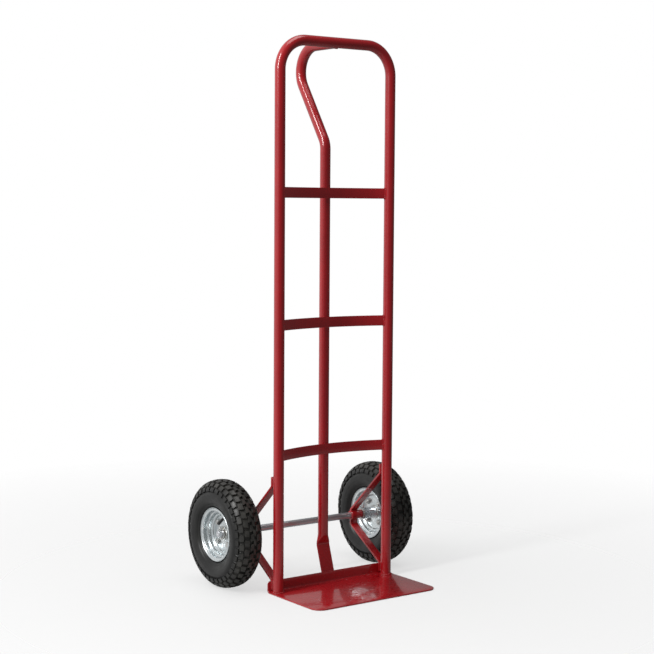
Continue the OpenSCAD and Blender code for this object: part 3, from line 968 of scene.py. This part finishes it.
def valve(word, side, rubber_look, plastic):
    """Rubber-covered stem with a collar where it leaves the rim, and a fluted cap."""
    r = VALVE_R
    collar = 13.6 * MM
    axis = 0.02 * MM
    stem = [
        (axis, 0),
        (r + 0.3 * MM, 0),
        (r, 2 * MM),
        (r, collar),
        (r + 1.6 * MM, collar),
        (r + 1.7 * MM, collar + 0.7 * MM),
        (r + 0.9 * MM, collar + 1.8 * MM),
        (r * 0.9, collar + 3 * MM),
        (r * 0.85, VALVE_LEN - 2 * MM),
        (r * 0.7, VALVE_LEN - 1 * MM),
        (r * 0.7, VALVE_LEN),
        (axis, VALVE_LEN),
    ]
    piece = make_piece("valve_stem_cover_" + word, on_valve_line(stem, word, side), rubber_look)
    stand_for(piece, "wheel_" + word, "tube_rubber", "valve_stem_" + word)
    top = VALVE_LEN + CAP_LEN
    cap = [
        (axis, VALVE_LEN),
        (CAP_R, VALVE_LEN),
        (CAP_R, VALVE_LEN + 1 * MM),
        (CAP_R * 0.94, VALVE_LEN + 1.4 * MM),
        (CAP_R * 0.88, top - 1.6 * MM),
        (CAP_R * 0.7, top - 0.5 * MM),
        (CAP_R * 0.45, top),
        (axis, top),
    ]
    piece = make_piece("valve_cap_fluted_" + word, on_valve_line(cap, word, side, 36, 0.06), plastic, 30)
    stand_for(piece, "wheel_" + word, "cap_plastic", "valve_cap_" + word)


def crown_line(side_x, height, count):
    """Half of the tyre's outer line from the crown down to its widest, as (radius, offset)."""
    t = np.linspace(math.pi / 2, 0, count)
    power = 2 / CROWN_POWER
    return np.stack([WIDEST_R + height * np.sin(t) ** power, side_x * np.cos(t) ** power], 1)


def lower_line(side_x, low_r, count):
    """Half of the tyre's outer line from its widest in to the given radius, as (radius, offset)."""
    r = np.linspace(WIDEST_R, low_r, count)
    return np.stack([r, side_x * np.sqrt(1 - ((WIDEST_R - r) / LOWER_SEMI) ** 2)], 1)


def by_length(line, places):
    """Points on a line at the given distances along it, with the outward normals there."""
    gaps = np.linalg.norm(np.diff(line, axis=0), axis=1)
    reach = np.concatenate([[0], np.cumsum(gaps)])
    points = np.stack([np.interp(places, reach, line[:, k]) for k in range(2)], 1)
    step = 0.4 * MM
    ahead = np.stack([np.interp(places + step, reach, line[:, k]) for k in range(2)], 1)
    back = np.stack([np.interp(places - step, reach, line[:, k]) for k in range(2)], 1)
    along = unit(ahead - back)
    return points, np.stack([along[:, 1], -along[:, 0]], 1)


# Tread rows: from and to, as distances over the crown from its middle line in mm, and their phase in pitches
TREAD_ROWS = ((-0.1, 6.5, 0.0), (10.0, 21.0, 0.5), (24.5, 35.5, 0.0), (38.5, 48.0, 0.5))
GROOVE_DEPTH = 5.2 * MM
BLOCK_GAP = 0.34
# Colour of the paler tread: painted light that lifts the tread blocks, with a dusty tint
PALE_TREAD_LIGHT_AND_DUST = (0.085, 0.082, 0.074)
# Sidewall rings: radius, depth and half width
SIDEWALL_RINGS = np.array([(71.5, 0.7, 1.1), (83.0, 0.5, 0.9), (97.0, 0.5, 0.9)]) * MM


def tread_stations():
    """Distances over the crown for the tyre's rows of points: pairs at each block wall, a few between."""
    stations = [0.0]
    for start, end, _ in TREAD_ROWS:
        start_wall = [start - 0.8, start, start + 0.5] if start > 1 else []
        inner = list(np.linspace(max(start, 0) + 1.5, end - 1.5, 3))
        stations += [*start_wall, *inner, end - 0.5, end, end + 0.8]
    return np.array(sorted(stations)) * MM


def block_share(place, round_place):
    """How far a point of the tread is raised, from 0 in a groove to 1 on a block."""
    raised = np.zeros(np.broadcast(place, round_place).shape)
    for start, end, phase in TREAD_ROWS:
        start, end = start * MM, end * MM
        across = np.minimum(place - start if start > 0 else 1.0, end - place)
        in_row = np.clip(across / (0.8 * MM) + 1, 0, 1)
        turn = (round_place + phase) % 1.0
        gap = BLOCK_GAP * (1 if start < 20 * MM else 0.95)
        from_gap = np.minimum(turn, 1 - turn) - gap / 2
        in_block = np.clip(from_gap / 0.035 + 0.5, 0, 1)
        raised = np.maximum(raised, in_row * in_block)
    return raised


def tread_angles():
    """Angles round the tyre in pitches, closer together at the walls of the blocks."""
    half_gap, wall = BLOCK_GAP / 2, 0.0175
    near = [0.0, half_gap * 0.5, half_gap - wall, half_gap + wall, half_gap + wall + 0.03]
    half_turn = near + [0.5 - p for p in near] + [0.25]
    marks = sorted({round(m, 5) for p in half_turn for m in (p, 1 - p) if m < 1})
    return (np.arange(TREAD_PITCHES)[:, None] + np.array(marks)).ravel()


def tyre(word, side, look):
    """Tyre with staggered tread blocks, shoulder lugs and moulded rings on the sidewall."""
    low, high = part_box("tyre_" + word)
    side_x = (high.x - low.x) / 2
    crown_r = (high.z - low.z) / 2
    crown = crown_line(side_x, crown_r - WIDEST_R, 60)
    outer = np.concatenate([crown, lower_line(side_x, BEAD_TOP_R, 30)[1:]])
    total = np.linalg.norm(np.diff(outer, axis=0), axis=1).sum()
    tread = tread_stations()
    stations = np.concatenate([tread, np.linspace(tread[-1], total, 26)[1:]])
    relief = sidewall_relief(by_length(outer, stations)[0][:, 0])
    # By distance from the crown: grooves grow shallow past the shoulder, rows slant, and blocks bulge
    depth = GROOVE_DEPTH * np.interp(stations / MM, [0, 24, 36, 48, 56], [1, 1, 0.9, 0.72, 0])
    slant = 0.09 * np.interp(stations / MM, [0, 8.3, 22.8, 47], [-1, 0.5, -0.6, 0.4])
    bulge = 1.1 * MM * np.interp(stations / MM, [0, 8, 22, 30, 40], [0, 1, 1, 0.5, 0])
    bead = [(BEAD_R + 0.6 * MM, BEAD_X), (BEAD_R, BEAD_X - 0.6 * MM), (BEAD_R, BEAD_IN_X)]
    inner_x = side_x - RUBBER_SIDE
    inner_crown = crown_line(inner_x, crown_r - RUBBER_CROWN - WIDEST_R, 12)
    inner = np.concatenate([lower_line(inner_x, INNER_TOP_R, 6)[::-1], inner_crown[::-1][1:]])
    rings = []
    for pitch in tread_angles():
        places = np.clip(stations + bulge * np.abs((pitch % 1) * 2 - 1), 0, total)
        points, normals = by_length(outer, places)
        drop = depth * (1 - block_share(stations, pitch)) + relief
        half = np.concatenate([points - normals * drop[:, None], bead, inner])
        turns = np.concatenate([pitch + slant, np.full(len(bead) + len(inner), pitch + slant[-1])])
        profile = np.concatenate([half, half[1:-1][::-1] * (1, -1)])
        angles = np.concatenate([turns, turns[1:-1][::-1] + 0.5]) * TURN / TREAD_PITCHES
        rings.append(np.stack([
            side * (WHEEL_X + profile[:, 1]),
            AXLE_Y + profile[:, 0] * np.cos(angles),
            AXLE_Z + profile[:, 0] * np.sin(angles),
        ], 1))
    piece = make_piece("tyre_treaded_" + word, skin(np.array(rings), loop=True), look, 32)
    stand_for(piece, "wheel_" + word, "tyre_rubber", "tyre_" + word)


def sidewall_relief(radius):
    """Depth below the smooth section, by radius: three shallow rings pressed into the sidewall."""
    relief = np.zeros(len(radius))
    for ring_r, depth, half_width in SIDEWALL_RINGS:
        relief += depth * np.exp(-(((radius - ring_r) / half_width) ** 2))
    return relief


def inner_tube(word, side, look):
    """Hollow ring of soft rubber with its moulding seam."""
    angles = np.arange(40) * TURN / 40
    seam = 1 + 0.006 * (np.abs(np.sin(angles)) < 0.05)
    outer = np.stack([np.cos(angles), np.sin(angles)], 1) * seam[:, None] * TUBE_SKIN_R * 0.99
    profile = outer + (TUBE_RING_R, 0)
    piece = make_piece("inner_tube_seamed_" + word, lathe(profile, WHEEL_X, side, 96), look)
    stand_for(piece, "wheel_" + word, "tube_rubber", "inner_tube_" + word)


# ---- Studio ----


def floor():
    """Large pale floor that fades into the white surround a few metres out."""
    look = Look("pale_floor")
    tone = look.spread(look.noise(1.5, 3), 0.3, 0.7, 0, 1)
    look.drive("Base Color", look.blend_colours(tone, (0.96, 0.96, 0.96), (0.94, 0.94, 0.94)))
    look.set(Roughness=0.65)
    distance = look.nodes.new("ShaderNodeVectorMath")
    distance.operation = "LENGTH"
    look.links.new(look.place, distance.inputs[0])
    fade = look.spread(distance.outputs["Value"], 0.3, 1.9, 0.38, 0)
    look.drive("Alpha", fade)
    rim = arc((0, 0), 2.0, 0, TURN, 96)[:-1]
    verts = [(x, y, -0.0005) for x, y in rim]
    mesh = bpy.data.meshes.new("floor")
    mesh.from_pydata(verts, [], [tuple(range(len(verts)))])
    mesh.materials.append(look.material)
    add_object("floor", mesh)


def softbox(name, place, target, size, power):
    """A rectangular area light that faces a point."""
    data = bpy.data.lights.new(name, "AREA")
    data.shape = "RECTANGLE"
    data.size, data.size_y = size
    data.energy = power
    light = add_object(name, data)
    light.location = place
    light.rotation_mode = "QUATERNION"
    light.rotation_quaternion = (Vector(target) - Vector(place)).to_track_quat("-Z", "Y")


def surround():
    """White to the eye, but it lights the truck mostly from the left and behind, and least from the right."""
    world = bpy.data.worlds.new("studio")
    world.use_nodes = True
    nodes, links = world.node_tree.nodes, world.node_tree.links
    nodes.clear()
    towards = nodes.new("ShaderNodeVectorMath")
    towards.operation = "DOT_PRODUCT"
    towards.inputs[1].default_value = BRIGHT_SIDE
    links.new(nodes.new("ShaderNodeTexCoord").outputs["Generated"], towards.inputs[0])
    strength = map_range(nodes, -0.1, 0.95, 0.13, 0.95)
    links.new(towards.outputs["Value"], strength.inputs["Value"])
    lit = nodes.new("ShaderNodeBackground")
    links.new(strength.outputs["Result"], lit.inputs["Strength"])
    seen = nodes.new("ShaderNodeBackground")
    seen.inputs["Color"].default_value = (1, 1, 1, 1)
    path = nodes.new("ShaderNodeLightPath")
    mixed = nodes.new("ShaderNodeMixShader")
    links.new(path.outputs["Is Camera Ray"], mixed.inputs["Fac"])
    links.new(lit.outputs[0], mixed.inputs[1])
    links.new(seen.outputs[0], mixed.inputs[2])
    links.new(mixed.outputs[0], nodes.new("ShaderNodeOutputWorld").inputs["Surface"])
    bpy.context.scene.world = world


def studio():
    """Pale floor, white surround, a tall soft key from the left and a weak soft light from above."""
    floor()
    surround()
    softbox("key_left", (-2.9, -0.35, 2.5), (0, 0, 0.6), (0.4, 2.0), 66)
    softbox("top_soft", (0.1, -0.3, 3.3), (0, -0.1, 0), (1.6, 1.6), 19)
    bpy.context.scene.view_settings.view_transform = "Standard"


def camera():
    """The photographer's camera: a long lens, slightly above the middle, looking a little down."""
    azimuth, elevation = math.radians(CAMERA_AZIMUTH), math.radians(CAMERA_ELEVATION)
    flat = math.cos(elevation)
    back = Vector((math.sin(azimuth) * flat, -math.cos(azimuth) * flat, math.sin(elevation)))
    level = (-back).cross(Vector((0, 0, 1))).normalized()
    rise = level.cross(-back)
    right = level * math.cos(CAMERA_ROLL) + rise * math.sin(CAMERA_ROLL)
    up = rise * math.cos(CAMERA_ROLL) - level * math.sin(CAMERA_ROLL)
    data = bpy.data.cameras.new("camera")
    data.lens = CAMERA_LENS
    data.sensor_width = 36
    data.clip_end = 100
    view = add_object("camera", data)
    turn = Matrix((right, up, back)).transposed().to_4x4()
    view.matrix_world = Matrix.Translation(CAMERA_PLACE) @ turn
    bpy.context.scene.camera = view


def build():
    camera()
    studio()
    paint, weld_coat, steel = red_paint(), weld_paint(), axle_steel()
    tyre_look = rubber("tyre_rubber", (0.008, 0.008, 0.008), (0.020, 0.020, 0.019), 0.26, 0.48, PALE_TREAD_LIGHT_AND_DUST)
    fastener = plated("plated_fasteners", (0.66, 0.66, 0.65), (0.52, 0.52, 0.50), 0.22, 0.38, 260)
    rim_look = plated("galvanised_rim", (0.80, 0.84, 0.85), (0.63, 0.68, 0.70), 0.24, 0.34, 90)
    hub_look = plated("plated_hub", (0.74, 0.76, 0.78), (0.60, 0.62, 0.65), 0.16, 0.30, 160)
    tube_look = rubber("tube_rubber", (0.014, 0.014, 0.015), (0.022, 0.022, 0.022), 0.45, 0.6)
    bronze_look, plastic = bronze(), cap_plastic()
    frame_tube(paint)
    handle_spine(paint)
    for which in ("top", "middle", "bottom"):
        crossbar(which, paint)
    toe_plate(paint)
    frame_welds(weld_coat)
    axle(steel)
    washers(fastener)
    split_pins(fastener)
    for word, side in SIDES:
        strut("upper", word, side, paint)
        strut("lower", word, side, paint)
        axle_sleeve(word, side, paint)
        rim_halves(word, side, rim_look)
        hub(word, side, hub_look, bronze_look, fastener)
        bolts_and_nuts(word, side, fastener)
        valve(word, side, tube_look, plastic)
        tyre(word, side, tyre_look)
        inner_tube(word, side, tube_look)


build()
